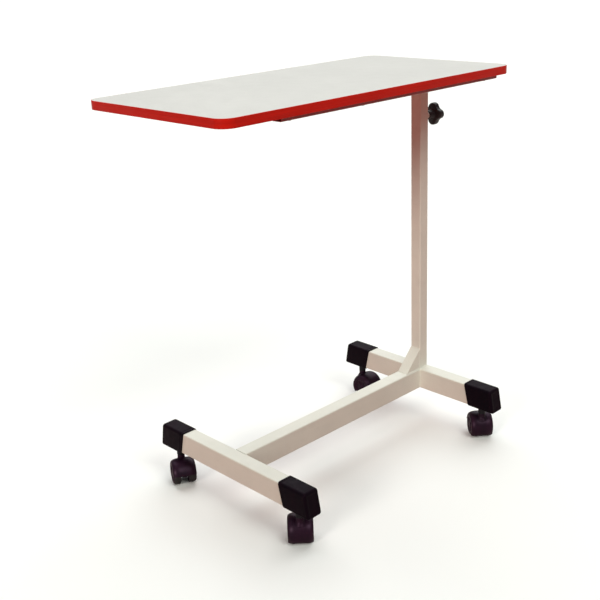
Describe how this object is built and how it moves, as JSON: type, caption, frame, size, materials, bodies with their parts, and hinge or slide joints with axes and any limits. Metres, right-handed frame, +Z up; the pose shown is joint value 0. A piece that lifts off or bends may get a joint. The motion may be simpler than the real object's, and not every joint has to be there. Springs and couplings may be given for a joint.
{
  "type": "overbed table",
  "caption": "Wheeled overbed table: a laminated rectangular top cantilevered from a square telescopic column with a clamp knob, on an H-shaped base with casters.",
  "frame": {"origin": "on the floor under the middle of the table top, with the top at its lowest height", "axes": "+Z up, +X from the free end of the top to the column end, +Y across the width"},
  "size_m": [0.8, 0.4672, 0.862],
  "materials": {
    "laminate": "off-white decorative laminate, fine satin texture",
    "board": "raw particle board",
    "backing_red": "dark red backing laminate, matte",
    "edge_red": "red plastic edge band, semi-gloss, rounded edges",
    "frame_red": "dark red powder coat, satin",
    "steel_cream": "cream powder coat with fine orange peel, satin",
    "tube_plated": "bright zinc-plated drawn steel",
    "plastic_black": "black moulded plastic, fine grain, satin",
    "caster_black": "black nylon with a slight purple sheen, semi-gloss",
    "tread_grey": "dark rubber tread, matte",
    "steel_zinc": "zinc-plated steel",
    "steel_black": "black finished steel, satin",
    "pad_brass": "turned brass"
  },
  "bodies": {
    "base": {"column_tube": "steel_cream", "column_sleeve": "plastic_black", "column_gusset": "steel_cream", "clamp_boss": "steel_cream", "rear_cross_tube": "steel_cream", "front_cross_tube": "steel_cream", "spine_beam": "steel_cream", "caster_sockets": "plastic_black", "grip_rings": "steel_zinc", "end_cap_front_left": "plastic_black", "end_cap_front_right": "plastic_black", "end_cap_rear_left": "plastic_black", "end_cap_rear_right": "plastic_black", "caster_stem_front_left": "steel_black", "caster_stem_front_right": "steel_black", "caster_stem_rear_left": "steel_black", "caster_stem_rear_right": "steel_black"},
    "top": {"table_board": "board", "laminate_top": "laminate", "backing_sheet": "backing_red", "edge_band": "edge_red", "carrier_rail_left": "frame_red", "carrier_rail_right": "frame_red", "carrier_cross_free": "frame_red", "carrier_cross_inner": "frame_red", "carrier_cross_outer": "frame_red", "head_plate": "frame_red", "head_plate_bolts": "steel_zinc", "board_screws": "steel_zinc", "inner_tube": "tube_plated", "inner_tube_shoe": "plastic_black"},
    "clamp_pad": {"thrust_pad": "pad_brass"},
    "clamp_screw": {"clamp_stud": "steel_zinc", "clamp_knob": "plastic_black"},
    "caster_front_left": {"caster_hood_front_left": "caster_black", "caster_axle_front_left": "steel_zinc"},
    "wheel_a_front_left": {"caster_wheel_a_front_left": "caster_black", "caster_tread_a_front_left": "tread_grey"},
    "wheel_b_front_left": {"caster_wheel_b_front_left": "caster_black", "caster_tread_b_front_left": "tread_grey"},
    "caster_front_right": {"caster_hood_front_right": "caster_black", "caster_axle_front_right": "steel_zinc"},
    "wheel_a_front_right": {"caster_wheel_a_front_right": "caster_black", "caster_tread_a_front_right": "tread_grey"},
    "wheel_b_front_right": {"caster_wheel_b_front_right": "caster_black", "caster_tread_b_front_right": "tread_grey"},
    "caster_rear_left": {"caster_hood_rear_left": "caster_black", "caster_axle_rear_left": "steel_zinc"},
    "wheel_a_rear_left": {"caster_wheel_a_rear_left": "caster_black", "caster_tread_a_rear_left": "tread_grey"},
    "wheel_b_rear_left": {"caster_wheel_b_rear_left": "caster_black", "caster_tread_b_rear_left": "tread_grey"},
    "caster_rear_right": {"caster_hood_rear_right": "caster_black", "caster_axle_rear_right": "steel_zinc"},
    "wheel_a_rear_right": {"caster_wheel_a_rear_right": "caster_black", "caster_tread_a_rear_right": "tread_grey"},
    "wheel_b_rear_right": {"caster_wheel_b_rear_right": "caster_black", "caster_tread_b_rear_right": "tread_grey"}
  },
  "joints": [
    {"name": "height_slide", "type": "slide", "parent": "base", "child": "top", "axis": [0, 0, 1], "range_m": [0, 0.28]},
    {"name": "clamp_feed", "type": "slide", "parent": "base", "child": "clamp_pad", "axis": [1, 0, 0], "range_m": [0, 0.0026]},
    {"name": "knob_turn", "type": "hinge", "parent": "clamp_pad", "child": "clamp_screw", "pos_m": [0.366, 0, 0.742], "axis": [1, 0, 0], "range_deg": [0, 720]},
    {"name": "swivel_front_left", "type": "hinge", "parent": "base", "child": "caster_front_left", "pos_m": [-0.263, -0.19, 0.062], "axis": [0, 0, 1], "continuous": true},
    {"name": "roll_a_front_left", "type": "hinge", "parent": "caster_front_left", "child": "wheel_a_front_left", "pos_m": [-0.25189, -0.17849, 0.025], "axis": [0.7193, -0.6947, 0], "continuous": true},
    {"name": "roll_b_front_left", "type": "hinge", "parent": "caster_front_left", "child": "wheel_b_front_left", "pos_m": [-0.25189, -0.17849, 0.025], "axis": [0.7193, -0.6947, 0], "continuous": true},
    {"name": "swivel_front_right", "type": "hinge", "parent": "base", "child": "caster_front_right", "pos_m": [-0.263, 0.19, 0.062], "axis": [0, 0, 1], "continuous": true},
    {"name": "roll_a_front_right", "type": "hinge", "parent": "caster_front_right", "child": "wheel_a_front_right", "pos_m": [-0.27051, 0.17587, 0.025], "axis": [-0.8829, 0.4695, 0], "continuous": true},
    {"name": "roll_b_front_right", "type": "hinge", "parent": "caster_front_right", "child": "wheel_b_front_right", "pos_m": [-0.27051, 0.17587, 0.025], "axis": [-0.8829, 0.4695, 0], "continuous": true},
    {"name": "swivel_rear_left", "type": "hinge", "parent": "base", "child": "caster_rear_left", "pos_m": [0.338, -0.19, 0.062], "axis": [0, 0, 1], "continuous": true},
    {"name": "roll_a_rear_left", "type": "hinge", "parent": "caster_rear_left", "child": "wheel_a_rear_left", "pos_m": [0.34829, -0.17774, 0.025], "axis": [0.766, -0.6428, 0], "continuous": true},
    {"name": "roll_b_rear_left", "type": "hinge", "parent": "caster_rear_left", "child": "wheel_b_rear_left", "pos_m": [0.34829, -0.17774, 0.025], "axis": [0.766, -0.6428, 0], "continuous": true},
    {"name": "swivel_rear_right", "type": "hinge", "parent": "base", "child": "caster_rear_right", "pos_m": [0.338, 0.19, 0.062], "axis": [0, 0, 1], "continuous": true},
    {"name": "roll_a_rear_right", "type": "hinge", "parent": "caster_rear_right", "child": "wheel_a_rear_right", "pos_m": [0.338, 0.174, 0.025], "axis": [-1, 0, 0], "continuous": true},
    {"name": "roll_b_rear_right", "type": "hinge", "parent": "caster_rear_right", "child": "wheel_b_rear_right", "pos_m": [0.338, 0.174, 0.025], "axis": [-1, 0, 0], "continuous": true}
  ],
  "couplings": [
    {"joint": "clamp_feed", "follows": "knob_turn", "m_per_rad": 0.00019894}
  ]
}
